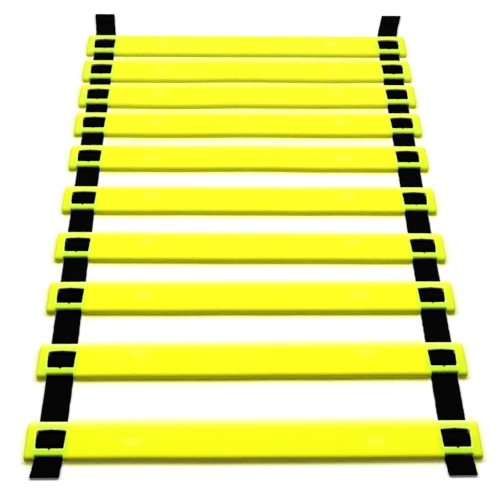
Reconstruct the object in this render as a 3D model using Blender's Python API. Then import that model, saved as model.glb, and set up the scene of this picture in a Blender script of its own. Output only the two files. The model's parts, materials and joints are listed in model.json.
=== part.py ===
# Agility ladder: ten flat moulded rungs that slide on two webbing straps.
# Metres, +X along the rungs, +Y away from the near end, +Z up.
# The origin is on the floor, under the middle of the ladder.

import math

import bmesh
import bpy
from mathutils import Vector

MM = 0.001

# Rung moulding
RUNG_COUNT = 10
RUNG_LENGTH = 420 * MM
RUNG_WIDTH = 38 * MM
RUNG_HEIGHT = 6.5 * MM
PLATE_THICKNESS = 2.2 * MM
LIP_THICKNESS = 2.0 * MM
END_RADIUS = 2.0 * MM
LONG_EDGE_RADIUS = 3.8 * MM
RIB_THICKNESS = 1.5 * MM
RIB_RECESS = 0.8 * MM
CROSS_RIBS = 5

# Webbing
WEBBING_WIDTH = 25 * MM
WEBBING_THICKNESS = 1.5 * MM
WEBBING_EDGE = 0.4 * MM
WEBBING_CROWN = 0.4 * MM

# Buckle window at each end of a rung
END_WALL = 9.2 * MM
WINDOW_SIDE_PLAY = 0.8 * MM
SLOT_WIDTH = 4.5 * MM
CENTRE_BAR_WIDTH = 8.5 * MM
CENTRE_BAR_HEIGHT = 3.0 * MM
BAR_CORNER_RADIUS = 1.5 * MM
WINDOW_CHAMFER = 0.5 * MM
NEAR_CORNER_RADIUS = 1.5 * MM
FAR_EDGE_ARCH = 1.0 * MM
PASSAGE_SIDE_PLAY = 1.3 * MM
SIDE_WALL_THICKNESS = 1.6 * MM
NEAR_NOTCH_WIDTH = 3.0 * MM
NEAR_NOTCH_DEPTH = 1.8 * MM
FAR_NOTCH_WIDTH = 2.2 * MM
FAR_NOTCH_DEPTH = 0.9 * MM

# How the webbing runs over a centre bar
BAR_CLEARANCE = 0.3 * MM
DIP_RADIUS = 1.8 * MM
RISE_ANGLE = math.radians(60)

# Layout: gaps between rungs, from the near end, as shares of the widest one
WIDEST_GAP = 46.5 * MM
GAP_SHARES = (1.0, 0.79, 0.59, 0.62, 0.58, 0.385, 0.27, 0.19, 0.245)
NEAR_TAIL = 18 * MM
FAR_TAIL = 46 * MM
HEM_LENGTH = 16 * MM
HEM_STEP = 0.4 * MM
FAR_SPLAY = 7 * MM
NEAR_SPLAY = 2 * MM

# One overrun serves all cuts
OVERRUN = 5 * MM

ARC_STEPS = 3
END_STEPS = 3
EDGE_STEPS = 4
ARCH_STEPS = 6

# Sizes that follow from the ones above
HALF_WIDTH = RUNG_WIDTH / 2
WINDOW_LENGTH = WEBBING_WIDTH + 2 * WINDOW_SIDE_PLAY
STRAP_SPACING = RUNG_LENGTH - 2 * END_WALL - WINDOW_LENGTH
WINDOW_WIDTH = CENTRE_BAR_WIDTH + 2 * SLOT_WIDTH
PASSAGE_LENGTH = WEBBING_WIDTH + 2 * PASSAGE_SIDE_PLAY
PLATE_UNDERSIDE = RUNG_HEIGHT - PLATE_THICKNESS
BAR_TOP = RUNG_HEIGHT - WEBBING_THICKNESS - BAR_CLEARANCE
FIRST_RUNG_TO_END = HALF_WIDTH + NEAR_TAIL
LAST_RUNG_TO_END = HALF_WIDTH + FAR_TAIL


def clear_scene():
    for obj in list(bpy.data.objects):
        bpy.data.objects.remove(obj, do_unlink=True)


def make_material(name, colour, roughness):
    material = bpy.data.materials.new(name)
    material.use_nodes = True
    shader = material.node_tree.nodes["Principled BSDF"]
    shader.inputs["Base Color"].default_value = (*colour, 1.0)
    shader.inputs["Roughness"].default_value = roughness
    shader.inputs["Metallic"].default_value = 0.0
    return material


def rung_pitches():
    """Centre distances between neighbouring rungs, from the near end."""
    return [RUNG_WIDTH + WIDEST_GAP * share for share in GAP_SHARES]


def rung_places():
    """Y of each rung's centre, from the near end, with the whole ladder centred on the origin."""
    pitches = rung_pitches()
    whole_length = FIRST_RUNG_TO_END + sum(pitches) + LAST_RUNG_TO_END
    places = [FIRST_RUNG_TO_END - whole_length / 2]
    for pitch in pitches:
        places.append(places[-1] + pitch)
    return places


def add_prism(bm, outline, low, high, axis="Z"):
    """Extrudes a closed outline between two heights along an axis, and returns its faces."""
    def point(u, v, w):
        return Vector((u, v, w)) if axis == "Z" else Vector((w, u, v))

    lower = [bm.verts.new(point(u, v, low)) for u, v in outline]
    upper = [bm.verts.new(point(u, v, high)) for u, v in outline]
    faces = [bm.faces.new(list(reversed(lower))), bm.faces.new(upper)]
    count = len(outline)
    for i in range(count):
        j = (i + 1) % count
        faces.append(bm.faces.new((lower[i], lower[j], upper[j], upper[i])))
    return faces


def box_outline(centre_u, centre_v, size_u, size_v):
    half_u = size_u / 2
    half_v = size_v / 2
    corners = ((-half_u, -half_v), (half_u, -half_v), (half_u, half_v), (-half_u, half_v))
    return [(centre_u + u, centre_v + v) for u, v in corners]


def object_from(bm, name):
    bmesh.ops.recalc_face_normals(bm, faces=bm.faces)
    mesh = bpy.data.meshes.new(name)
    bm.to_mesh(mesh)
    bm.free()
    obj = bpy.data.objects.new(name, mesh)
    bpy.context.scene.collection.objects.link(obj)
    return obj


def make_cutter(bm, name):
    cutter = object_from(bm, name)
    cutter.hide_render = True
    cutter.display_type = "WIRE"
    return cutter


def apply_boolean(target, tool, operation):
    """Cuts or joins a tool into the target, then removes the tool."""
    modifier = target.modifiers.new(operation.lower(), "BOOLEAN")
    modifier.operation = operation
    modifier.object = tool
    graph = bpy.context.evaluated_depsgraph_get()
    result = bpy.data.meshes.new_from_object(target.evaluated_get(graph))
    target.modifiers.clear()
    target.data = result
    bpy.data.objects.remove(tool, do_unlink=True)


def strap_sides():
    """X of the left and right strap, which is the middle of each window."""
    return (-STRAP_SPACING / 2, STRAP_SPACING / 2)


def rung_section():
    """A rung's outer section as (y, z), anticlockwise: upright walls with rolled upper edges."""
    points = [(-HALF_WIDTH, 0), (HALF_WIDTH, 0)]
    centre_z = RUNG_HEIGHT - LONG_EDGE_RADIUS
    for sign, start in ((1, 0), (-1, 90)):
        centre_y = sign * (HALF_WIDTH - LONG_EDGE_RADIUS)
        for i in range(EDGE_STEPS + 1):
            angle = math.radians(start + 90 * i / EDGE_STEPS)
            points.append((centre_y + LONG_EDGE_RADIUS * math.cos(angle),
                           centre_z + LONG_EDGE_RADIUS * math.sin(angle)))
    return points


def rung_blank():
    """The outer form: the section drawn out along the rung, then both ends rounded but for the foot."""
    bm = bmesh.new()
    ends = add_prism(bm, rung_section(), -RUNG_LENGTH / 2, RUNG_LENGTH / 2, axis="X")[:2]
    rims = [edge for face in ends for edge in face.edges if any(vert.co.z > 0 for vert in edge.verts)]
    bmesh.ops.bevel(bm, geom=rims, offset=END_RADIUS, offset_type="OFFSET",
                    segments=END_STEPS, profile=0.5, affect="EDGES", clamp_overlap=True)
    return object_from(bm, "rung")


def passage_cutter():
    """The way of the webbing through both long lips, below the plate."""
    bm = bmesh.new()
    for side in strap_sides():
        outline = box_outline(side, 0, PASSAGE_LENGTH, RUNG_WIDTH + 2 * OVERRUN)
        add_prism(bm, outline, -OVERRUN, PLATE_UNDERSIDE)
    return make_cutter(bm, "passage_cutter")


def window_outline():
    """The window, centred on zero: round near corners, square far corners and an arched far edge."""
    half_length = WINDOW_LENGTH / 2
    half_width = WINDOW_WIDTH / 2
    points = []
    for sign, start in ((-1, 180), (1, 270)):
        centre_x = sign * (half_length - NEAR_CORNER_RADIUS)
        centre_y = NEAR_CORNER_RADIUS - half_width
        for i in range(ARC_STEPS + 1):
            angle = math.radians(start + 90 * i / ARC_STEPS)
            points.append((centre_x + NEAR_CORNER_RADIUS * math.cos(angle),
                           centre_y + NEAR_CORNER_RADIUS * math.sin(angle)))
    for i in range(ARCH_STEPS + 1):
        share = 1 - 2 * i / ARCH_STEPS
        points.append((half_length * share, half_width + FAR_EDGE_ARCH * (1 - share ** 2)))
    return points


def window_cutter():
    """The window through the plate, with a chamfer round its upper edge."""
    bm = bmesh.new()
    spread = 2 * (WINDOW_CHAMFER + OVERRUN)
    heights = ((0, PLATE_UNDERSIDE - OVERRUN), (0, RUNG_HEIGHT - WINDOW_CHAMFER), (spread, RUNG_HEIGHT + OVERRUN))
    for side in strap_sides():
        rings = []
        for growth, z in heights:
            scale_x = 1 + growth / WINDOW_LENGTH
            scale_y = 1 + growth / WINDOW_WIDTH
            rings.append([bm.verts.new((side + x * scale_x, y * scale_y, z)) for x, y in window_outline()])
        bm.faces.new(list(reversed(rings[0])))
        bm.faces.new(rings[-1])
        for lower, upper in zip(rings, rings[1:]):
            count = len(lower)
            for i in range(count):
                j = (i + 1) % count
                bm.faces.new((lower[i], lower[j], upper[j], upper[i]))
    return make_cutter(bm, "window_cutter")


def notch_cutter():
    """Small V notches in the middle of the two bars beside each window."""
    bm = bmesh.new()
    near_edge = WINDOW_WIDTH / 2
    far_edge = WINDOW_WIDTH / 2 + FAR_EDGE_ARCH
    notches = ((-1, near_edge, NEAR_NOTCH_WIDTH, NEAR_NOTCH_DEPTH),
               (1, far_edge, FAR_NOTCH_WIDTH, FAR_NOTCH_DEPTH))
    for side in strap_sides():
        for direction, edge, width, depth in notches:
            slope = width / 2 / depth
            back = depth + SLOT_WIDTH / 2
            outline = [(side, direction * (edge + depth)),
                       (side - slope * back, direction * (edge + depth - back)),
                       (side + slope * back, direction * (edge + depth - back))]
            add_prism(bm, outline, PLATE_UNDERSIDE - OVERRUN, RUNG_HEIGHT + OVERRUN)
    return make_cutter(bm, "notch_cutter")


def pocket_cutter():
    """The hollows of the underside, which leave the lip, the window walls and the ribs standing."""
    bm = bmesh.new()
    wall = PASSAGE_LENGTH / 2 + SIDE_WALL_THICKNESS
    inner_end = STRAP_SPACING / 2 - wall
    outer_start = STRAP_SPACING / 2 + wall
    outer_end = RUNG_LENGTH / 2 - LIP_THICKNESS
    row_width = HALF_WIDTH - LIP_THICKNESS - RIB_THICKNESS / 2
    row_centre = RIB_THICKNESS / 2 + row_width / 2
    cell_length = (2 * inner_end - CROSS_RIBS * RIB_THICKNESS) / (CROSS_RIBS + 1)
    for row in (-row_centre, row_centre):
        for cell in range(CROSS_RIBS + 1):
            centre = -inner_end + cell_length / 2 + cell * (cell_length + RIB_THICKNESS)
            add_prism(bm, box_outline(centre, row, cell_length, row_width), -OVERRUN, PLATE_UNDERSIDE)
        for side in (-1, 1):
            centre = side * (outer_start + outer_end) / 2
            outline = box_outline(centre, row, outer_end - outer_start, row_width)
            add_prism(bm, outline, -OVERRUN, PLATE_UNDERSIDE)
    return make_cutter(bm, "pocket_cutter")


def rib_relief_cutter():
    """Lowers the ribs between the windows a little, so that the rung stands on its lip."""
    bm = bmesh.new()
    length = STRAP_SPACING - PASSAGE_LENGTH - 2 * SIDE_WALL_THICKNESS - 2 * LIP_THICKNESS
    width = RUNG_WIDTH - 2 * LIP_THICKNESS - 2 * RIB_THICKNESS
    add_prism(bm, box_outline(0, 0, length, width), -OVERRUN, RIB_RECESS)
    return make_cutter(bm, "rib_relief_cutter")


def centre_bars():
    """The bar across each window that the webbing passes over, with rounded upper edges."""
    bm = bmesh.new()
    bar_bottom = BAR_TOP - CENTRE_BAR_HEIGHT
    half = CENTRE_BAR_WIDTH / 2
    corner = half - BAR_CORNER_RADIUS
    outline = [(-half, bar_bottom), (half, bar_bottom)]
    for centre, start in ((corner, 0), (-corner, 90)):
        for i in range(ARC_STEPS + 1):
            angle = math.radians(start + 90 * i / ARC_STEPS)
            outline.append((centre + BAR_CORNER_RADIUS * math.cos(angle),
                            BAR_TOP - BAR_CORNER_RADIUS + BAR_CORNER_RADIUS * math.sin(angle)))
    reach = PASSAGE_LENGTH / 2 + SIDE_WALL_THICKNESS / 2
    for side in strap_sides():
        add_prism(bm, outline, side - reach, side + reach, axis="X")
    return object_from(bm, "centre_bars")


def make_rung_mesh():
    rung = rung_blank()
    for cutter in (passage_cutter(), pocket_cutter(), rib_relief_cutter(), window_cutter(), notch_cutter()):
        apply_boolean(rung, cutter, "DIFFERENCE")
    apply_boolean(rung, centre_bars(), "UNION")
    mesh = rung.data
    mesh.shade_smooth()
    mesh.set_sharp_from_angle(angle=math.radians(30))
    bpy.data.objects.remove(rung, do_unlink=True)
    return mesh


def make_rungs(material):
    """Rungs from the far end, rung_01, to the near end, rung_10, each parented to its nearer neighbour."""
    mesh = make_rung_mesh()
    mesh.name = "rung"
    mesh.materials.clear()
    mesh.materials.append(material)
    places = rung_places()
    pitches = rung_pitches()
    nearer = None
    for index in range(RUNG_COUNT):
        rung = bpy.data.objects.new(f"rung_{RUNG_COUNT - index:02d}", mesh)
        bpy.context.scene.collection.objects.link(rung)
        if nearer is None:
            rung.location = (0, places[0], 0)
        else:
            rung.parent = nearer
            rung.location = (0, pitches[index - 1], 0)
        nearer = rung


def wave_stations():
    """The webbing's way past one rung, as (y from the rung's centre, z, slope, share of crown)."""
    level = WEBBING_THICKNESS / 2
    top_radius = BAR_CORNER_RADIUS + BAR_CLEARANCE + WEBBING_THICKNESS / 2
    top_y = CENTRE_BAR_WIDTH / 2 - BAR_CORNER_RADIUS
    top_z = BAR_TOP - BAR_CORNER_RADIUS
    arc_end_y = top_y + top_radius * math.sin(RISE_ANGLE)
    arc_end_z = top_z + top_radius * math.cos(RISE_ANGLE)
    dip_rise = DIP_RADIUS * (1 - math.cos(RISE_ANGLE))
    straight_rise = arc_end_z - level - dip_rise
    dip_y = arc_end_y + straight_rise / math.tan(RISE_ANGLE) + DIP_RADIUS * math.sin(RISE_ANGLE)
    climb = []
    for i in range(ARC_STEPS):
        angle = RISE_ANGLE * i / (ARC_STEPS - 1)
        y = -dip_y + DIP_RADIUS * math.sin(angle)
        z = level + DIP_RADIUS * (1 - math.cos(angle))
        climb.append((y, z, angle, 0.0))
    for i in range(ARC_STEPS + 1):
        share = i / ARC_STEPS
        angle = RISE_ANGLE * (1 - share)
        y = -top_y - top_radius * math.sin(angle)
        z = top_z + top_radius * math.cos(angle)
        climb.append((y, z, angle, share / 2))
    summit = [(0, top_z + top_radius, 0, 1.0)]
    descent = [(-y, z, -angle, crown) for y, z, angle, crown in reversed(climb)]
    return climb + summit + descent


def strap_stations():
    """The whole strap from the near end, as (y, z, slope, half thickness, crown share)."""
    single = WEBBING_THICKNESS / 2
    double = WEBBING_THICKNESS
    places = rung_places()
    near_end = places[0] - FIRST_RUNG_TO_END
    far_end = places[-1] + LAST_RUNG_TO_END
    nose = [(double * (1 - math.cos(angle)), double * math.sin(angle))
            for angle in (math.radians(20), math.radians(55), math.radians(90))]
    stations = [(near_end + inset, double, 0, half, 0) for inset, half in nose]
    stations.append((near_end + HEM_LENGTH, double, 0, double, 0))
    stations.append((near_end + HEM_LENGTH + HEM_STEP, single, 0, single, 0))
    for place in places:
        for y, z, slope, crown in wave_stations():
            stations.append((place + y, z, slope, single, crown))
    stations.append((far_end - HEM_LENGTH - HEM_STEP, single, 0, single, 0))
    stations.append((far_end - HEM_LENGTH, double, 0, double, 0))
    stations += [(far_end - inset, double, 0, half, 0) for inset, half in reversed(nose)]
    return stations


def tail_shift(y):
    """How far a strap's free end leans outwards at y."""
    places = rung_places()
    past_far = y - places[-1] - HALF_WIDTH
    past_near = places[0] - HALF_WIDTH - y
    if past_far > 0:
        return FAR_SPLAY * (past_far / FAR_TAIL) ** 2
    if past_near > 0:
        return NEAR_SPLAY * (past_near / NEAR_TAIL) ** 2
    return 0.0


def make_strap(name, side, material):
    """Sweeps the webbing's section along its way through all the rungs."""
    bm = bmesh.new()
    half_width = WEBBING_WIDTH / 2
    flat_half = half_width - WEBBING_EDGE
    outward = math.copysign(1, side)
    rings = []
    for y, z, slope, half, crown_share in strap_stations():
        crown = WEBBING_CROWN * crown_share
        section = ((half_width, 0), (flat_half, half), (0, half + crown), (-flat_half, half),
                   (-half_width, 0), (-flat_half, -half), (0, -half + crown), (flat_half, -half))
        centre_x = side + outward * tail_shift(y)
        ring = []
        for across, up in section:
            place = (centre_x + across, y - up * math.sin(slope), z + up * math.cos(slope))
            ring.append(bm.verts.new(place))
        rings.append(ring)
    for near, far in zip(rings, rings[1:]):
        count = len(near)
        for i in range(count):
            j = (i + 1) % count
            bm.faces.new((near[i], far[i], far[j], near[j]))
    bm.faces.new(rings[0])
    bm.faces.new(list(reversed(rings[-1])))
    strap = object_from(bm, name)
    strap.data.materials.append(material)
    strap.data.shade_smooth()
    strap.data.set_sharp_from_angle(angle=math.radians(35))
    return strap


def build():
    clear_scene()
    rung_plastic = make_material("rung_plastic", (0.93, 0.97, 0.02), 0.38)
    webbing = make_material("strap_webbing", (0.012, 0.012, 0.013), 0.85)
    make_rungs(rung_plastic)
    left, right = strap_sides()
    make_strap("strap_left", left, webbing)
    make_strap("strap_right", right, webbing)


build()
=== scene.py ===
import json
import math

import bmesh
import bpy
from mathutils import Matrix, Vector, noise

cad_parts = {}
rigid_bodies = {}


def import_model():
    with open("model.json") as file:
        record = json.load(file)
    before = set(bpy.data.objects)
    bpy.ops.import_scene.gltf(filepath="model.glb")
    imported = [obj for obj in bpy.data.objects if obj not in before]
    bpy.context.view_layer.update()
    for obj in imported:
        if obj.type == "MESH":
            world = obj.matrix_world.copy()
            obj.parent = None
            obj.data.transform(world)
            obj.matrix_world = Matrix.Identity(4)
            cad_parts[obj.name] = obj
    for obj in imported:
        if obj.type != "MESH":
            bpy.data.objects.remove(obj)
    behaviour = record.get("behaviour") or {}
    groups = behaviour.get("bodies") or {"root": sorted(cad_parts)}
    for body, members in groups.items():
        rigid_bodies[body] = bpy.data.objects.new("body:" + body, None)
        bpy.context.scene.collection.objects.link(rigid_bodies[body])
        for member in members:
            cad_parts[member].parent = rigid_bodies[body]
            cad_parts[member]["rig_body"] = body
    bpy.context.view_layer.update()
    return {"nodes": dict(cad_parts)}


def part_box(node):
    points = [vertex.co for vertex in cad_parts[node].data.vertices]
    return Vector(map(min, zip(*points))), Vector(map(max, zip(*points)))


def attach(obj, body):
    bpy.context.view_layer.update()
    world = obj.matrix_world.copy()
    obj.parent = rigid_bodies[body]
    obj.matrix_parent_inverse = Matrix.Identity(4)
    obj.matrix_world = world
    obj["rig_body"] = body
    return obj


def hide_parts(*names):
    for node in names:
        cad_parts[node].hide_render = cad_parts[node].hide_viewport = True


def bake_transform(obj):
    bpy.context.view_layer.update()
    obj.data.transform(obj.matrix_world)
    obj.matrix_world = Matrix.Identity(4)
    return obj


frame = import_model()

mm = 0.001
tiny = 0.02 * mm
print("frame loaded:", len(frame["nodes"]), "CAD nodes")


# Places read from the frame

rungNames = sorted(name for name in frame["nodes"] if name.startswith("rung_"))   # rung_01 is the far one
rungCentre = {name: sum(corner.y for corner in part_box(name)) / 2 for name in rungNames}
rungBody = {name: frame["nodes"][name]["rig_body"] for name in rungNames}
rungLow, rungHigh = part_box("rung_01")
rungLength = rungHigh.x - rungLow.x
rungWidth = rungHigh.y - rungLow.y
rungHeight = rungHigh.z - rungLow.z
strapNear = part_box("strap_left")[0].y
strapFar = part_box("strap_left")[1].y


# Selecting and shaping, as by hand

def onlyThis(obj):
    if bpy.context.object and bpy.context.object.mode == "EDIT":
        bpy.ops.object.mode_set(mode="OBJECT")
    bpy.ops.object.select_all(action="DESELECT")
    obj.select_set(True)
    bpy.context.view_layer.objects.active = obj


def leaveEdit():
    bpy.ops.object.mode_set(mode="OBJECT")


def choose(obj, kind, rule):
    onlyThis(obj)
    bpy.ops.object.mode_set(mode="EDIT")
    bpy.ops.mesh.select_mode(type=kind)
    bpy.ops.mesh.select_all(action="DESELECT")
    shape = bmesh.from_edit_mesh(obj.data)
    for item in shape.edges if kind == "EDGE" else shape.faces:
        if rule(item):
            item.select_set(True)
    bmesh.update_edit_mesh(obj.data)


def addBlock(name, low, high):
    bpy.ops.object.select_all(action="DESELECT")
    low, high = Vector(low), Vector(high)
    bpy.ops.mesh.primitive_cube_add(size=1, location=(low + high) / 2)
    block = bpy.context.object
    block.name = name
    block.scale = high - low
    bpy.ops.object.transform_apply(location=True, rotation=True, scale=True)
    return block


def addPin(name, sides, centre, radiusX, radiusY, low, high):
    bpy.ops.object.select_all(action="DESELECT")
    bpy.ops.mesh.primitive_cylinder_add(vertices=sides, radius=1, depth=1,
                                        location=(centre[0], centre[1], (low + high) / 2))
    pin = bpy.context.object
    pin.name = name
    pin.scale = (radiusX, radiusY, high - low)
    bpy.ops.object.transform_apply(location=True, rotation=True, scale=True)
    return pin


def copyOf(obj, name):
    onlyThis(obj)
    bpy.ops.object.duplicate(linked=False)
    copy = bpy.context.object
    copy.name = name
    return copy


def joinAll(pieces, name):
    onlyThis(pieces[0])
    for piece in pieces:
        piece.select_set(True)
    bpy.ops.object.join()
    pieces[0].name = name
    return pieces[0]


def applyModifier(obj, kind, **values):
    onlyThis(obj)
    modifier = obj.modifiers.new(kind.lower(), kind)
    for key, value in values.items():
        setattr(modifier, key, value)
    bpy.ops.object.modifier_apply(modifier=modifier.name)


def combine(obj, tool, operation):
    applyModifier(obj, "BOOLEAN", operation=operation, object=tool, solver="EXACT")
    bpy.data.objects.remove(tool, do_unlink=True)


def cutAlong(obj, axis, places):
    onlyThis(obj)
    bpy.ops.object.mode_set(mode="EDIT")
    for place in places:
        bpy.ops.mesh.select_all(action="SELECT")
        bpy.ops.mesh.bisect(plane_co=[place if i == axis else 0 for i in range(3)],
                            plane_no=[1 if i == axis else 0 for i in range(3)])
    leaveEdit()


def evenSteps(low, high, step):
    count = max(1, round((high - low) / step))
    return [low + (high - low) * i / count for i in range(count + 1)]


# Camera at the photograph's place and angle

cameraSetup = {
    "place": (-22.1 * mm, -623.8 * mm, 733.0 * mm),
    "pitch": 52.936,   # degrees below the horizon
    "yaw": -2.200,
    "roll": 1.7425,
    "lens": 60.80,
    "sensor": 36.0,
    "clip": (10 * mm, 50),
}


def makeCamera():
    setup = cameraSetup
    data = bpy.data.cameras.new("photoCamera")
    data.lens = setup["lens"]
    data.sensor_width = setup["sensor"]
    data.clip_start, data.clip_end = setup["clip"]
    camera = bpy.data.objects.new("photoCamera", data)
    bpy.context.scene.collection.objects.link(camera)
    turn = Matrix.Rotation(math.radians(setup["yaw"]), 4, "Z")
    turn = turn @ Matrix.Rotation(math.radians(90 - setup["pitch"]), 4, "X")
    turn = turn @ Matrix.Rotation(math.radians(setup["roll"]), 4, "Z")
    camera.matrix_world = Matrix.Translation(setup["place"]) @ turn
    bpy.context.scene.camera = camera


# Studio: a soft lamp above the far end, one over the floor beyond it, an even sky and a white floor

studio = {
    "lampPlace": (-0.01, 0.25, 0.72),
    "lampAim": (0, -0.12, 0),
    "lampSize": (1.6, 0.42),           # along the rungs, and across them
    "lampPower": 15.3,
    "farLampPlace": (0, 2.45, 0.72),   # over the floor where the spread rungs come to lie
    "farLampSize": (1.6, 3.1),
    "farLampPower": 27,
    "farLampSpread": 60,
    "sky": 0.025,
    "floorSize": 14,
    "floorDrop": 0.15 * mm,
    "floorRoughness": 0.9,
    "floorSeen": (1.0, 1.0, 1.0),
    # painted yellow glow and shade on the floor beside the plastic, by how open the floor is there
    "paintedGlowColour": (1.0, 1.0, 0),      # under the yellow light from the thin plastic
    "floorBounce": (0.60, 0.60, 0.60),   # what the floor throws back at the ladder
    "floorGlow": (0.0, 0.6),           # beside the ladder, and far from it
    "glowRange": (0.22, 0.75),
    "paintedGlow": 0.85,
    "paintedGlowReach": 22 * mm,
    "paintedGlowSpan": (0.778, 0.925),        # how open the floor is, where the tint is full and where it ends
    "paintedGlowAtEnds": 0.6,                 # its share beside the rungs' ends
    "paintedGlowEndRange": (-3 * mm, mm),     # from a rung's end
    "paintedGlowBeside": (14 * mm, 18 * mm),  # from a strap's middle, as the webbing has no yellow beside it
    "paintedGlowBeyond": ((4 * mm, 10 * mm), (9 * mm, 15 * mm)),   # past the near and the far rung
}


def backgroundShare(tree):
    # 1 where the floor or sky is seen, also in a mirror or through glass, and 0 where it only gives light
    path = tree.nodes.new("ShaderNodeLightPath")
    seen = calculate(tree, "MAXIMUM", path.outputs["Is Camera Ray"], path.outputs["Is Glossy Ray"])
    return calculate(tree, "MAXIMUM", seen, path.outputs["Is Transmission Ray"])


def addLamp(name, place, size, power):
    lamp = bpy.data.objects.new(name, bpy.data.lights.new(name, "AREA"))
    lamp.data.shape = "RECTANGLE"
    lamp.data.size, lamp.data.size_y = size
    lamp.data.energy = power
    lamp.location = place
    bpy.context.scene.collection.objects.link(lamp)
    return lamp


def makeLamps():
    lamp = addLamp("softLamp", studio["lampPlace"], studio["lampSize"], studio["lampPower"])
    lamp.rotation_mode = "QUATERNION"
    lamp.rotation_quaternion = (Vector(studio["lampAim"]) - lamp.location).to_track_quat("-Z", "Y")
    lamp.data.use_nodes = True
    tree = lamp.data.node_tree
    even = tree.nodes.new("ShaderNodeLightFalloff")     # the same light at the near and the far end
    even.inputs["Strength"].default_value = 1
    tree.links.new(even.outputs["Constant"], tree.nodes["Emission"].inputs["Strength"])
    farLamp = addLamp("farLamp", studio["farLampPlace"], studio["farLampSize"], studio["farLampPower"])
    farLamp.data.spread = math.radians(studio["farLampSpread"])


def makeSky():
    world = bpy.data.worlds.new("studioSky")
    bpy.context.scene.world = world
    world.use_nodes = True
    tree = world.node_tree
    background = tree.nodes["Background"]
    background.inputs["Color"].default_value = (1, 1, 1, 1)
    strength = ramp(tree, backgroundShare(tree), 0, 1, studio["sky"], 1, "LINEAR")
    tree.links.new(strength, background.inputs["Strength"])


def paintedFloorGlow(tree, vector):
    # painted yellow light and shade: the floor's colour turns yellow where the plastic stands close, off
    # beside the webbing and past the end rungs
    openness = tree.nodes.new("ShaderNodeAmbientOcclusion")
    openness.inputs["Distance"].default_value = studio["paintedGlowReach"]
    paintedGlow = ramp(tree, openness.outputs["AO"], *studio["paintedGlowSpan"], studio["paintedGlow"], 0, "LINEAR")
    x, y, _ = splitVector(tree, vector)
    side = calculate(tree, "ABSOLUTE", x)
    fromStrap = calculate(tree, "ABSOLUTE", calculate(tree, "SUBTRACT", side, windowCentre))
    paintedGlow = calculate(tree, "MULTIPLY", paintedGlow, ramp(tree, fromStrap, *studio["paintedGlowBeside"]))
    start, stop = (rungLength / 2 + place for place in studio["paintedGlowEndRange"])
    paintedGlow = calculate(tree, "MULTIPLY", paintedGlow, ramp(tree, side, start, stop, 1, studio["paintedGlowAtEnds"]))
    for end, sign, (start, stop) in zip((rungNames[-1], rungNames[0]), (-1, 1), studio["paintedGlowBeyond"]):
        beyond = calculate(tree, "MULTIPLY_ADD", y, sign, -sign * rungCentre[end] - rungWidth / 2)
        paintedGlow = calculate(tree, "MULTIPLY", paintedGlow, ramp(tree, beyond, start, stop, 1, 0))
    return paintedGlow


def makeFloorMaterial():
    material, tree, shader = newMaterial("whiteFloor")
    shader.inputs["Roughness"].default_value = studio["floorRoughness"]
    shader.inputs["Specular IOR Level"].default_value = 0
    place = tree.nodes.new("ShaderNodeTexCoord")
    # the floor's colour carries the painted yellow glow
    paintedGlow = paintedFloorGlow(tree, place.outputs["Object"])
    paperWithPaintedGlow = mixColour(tree, paintedGlow, studio["floorSeen"], studio["paintedGlowColour"])
    tone = mixColour(tree, backgroundShare(tree), studio["floorBounce"], paperWithPaintedGlow)
    tree.links.new(tone, shader.inputs["Base Color"])
    # a white paper floor, kept white out to the picture's corners
    far = tree.nodes.new("ShaderNodeVectorMath")
    far.operation = "LENGTH"
    tree.links.new(place.outputs["Object"], far.inputs[0])
    glow = ramp(tree, far.outputs["Value"], *studio["glowRange"], *studio["floorGlow"])
    shader.inputs["Emission Color"].default_value = (1, 1, 1, 1)
    seenGlow = calculate(tree, "MULTIPLY", glow, backgroundShare(tree))
    tree.links.new(seenGlow, shader.inputs["Emission Strength"])
    return material


def makeStudio():
    bpy.context.scene.view_settings.view_transform = "Standard"
    makeLamps()
    makeSky()
    bpy.ops.object.select_all(action="DESELECT")
    bpy.ops.mesh.primitive_plane_add(size=studio["floorSize"], location=(0, 0, -studio["floorDrop"]))
    floor = bpy.context.object
    floor.name = "floor"
    floor.data.materials.append(makeFloorMaterial())


# Node groups that more than one material uses

def newGroup(name, inputs, outputs):
    group = bpy.data.node_groups.new(name, "ShaderNodeTree")
    for label, kind, value in inputs:
        socket = group.interface.new_socket(name=label, in_out="INPUT", socket_type=kind)
        if value is not None:
            socket.default_value = value
    for label, kind in outputs:
        group.interface.new_socket(name=label, in_out="OUTPUT", socket_type=kind)
    start = group.nodes.new("NodeGroupInput")
    end = group.nodes.new("NodeGroupOutput")
    return group, start, end


def calculate(tree, operation, first, second=None, third=None, clamp=False):
    node = tree.nodes.new("ShaderNodeMath")
    node.operation = operation
    node.use_clamp = clamp
    for place, value in enumerate((first, second, third)):
        if value is None:
            continue
        if isinstance(value, (int, float)):
            node.inputs[place].default_value = value
        else:
            tree.links.new(value, node.inputs[place])
    return node.outputs[0]


def ramp(tree, value, low, high, toLow=0.0, toHigh=1.0, style="SMOOTHSTEP"):
    node = tree.nodes.new("ShaderNodeMapRange")
    node.interpolation_type = style
    node.inputs["From Min"].default_value = low
    node.inputs["From Max"].default_value = high
    node.inputs["To Min"].default_value = toLow
    node.inputs["To Max"].default_value = toHigh
    tree.links.new(value, node.inputs["Value"])
    return node.outputs["Result"]


def mixColour(tree, share, first, second, blend="MIX"):
    node = tree.nodes.new("ShaderNodeMix")
    node.data_type = "RGBA"
    node.blend_type = blend
    node.clamp_factor = True
    for label, value in (("Factor", share), ("A", first), ("B", second)):
        socket = node.inputs[label]
        if isinstance(value, (int, float)):
            socket.default_value = value
        elif isinstance(value, tuple):
            socket.default_value = (*value, 1)
        else:
            tree.links.new(value, socket)
    return node.outputs["Result"]


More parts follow.
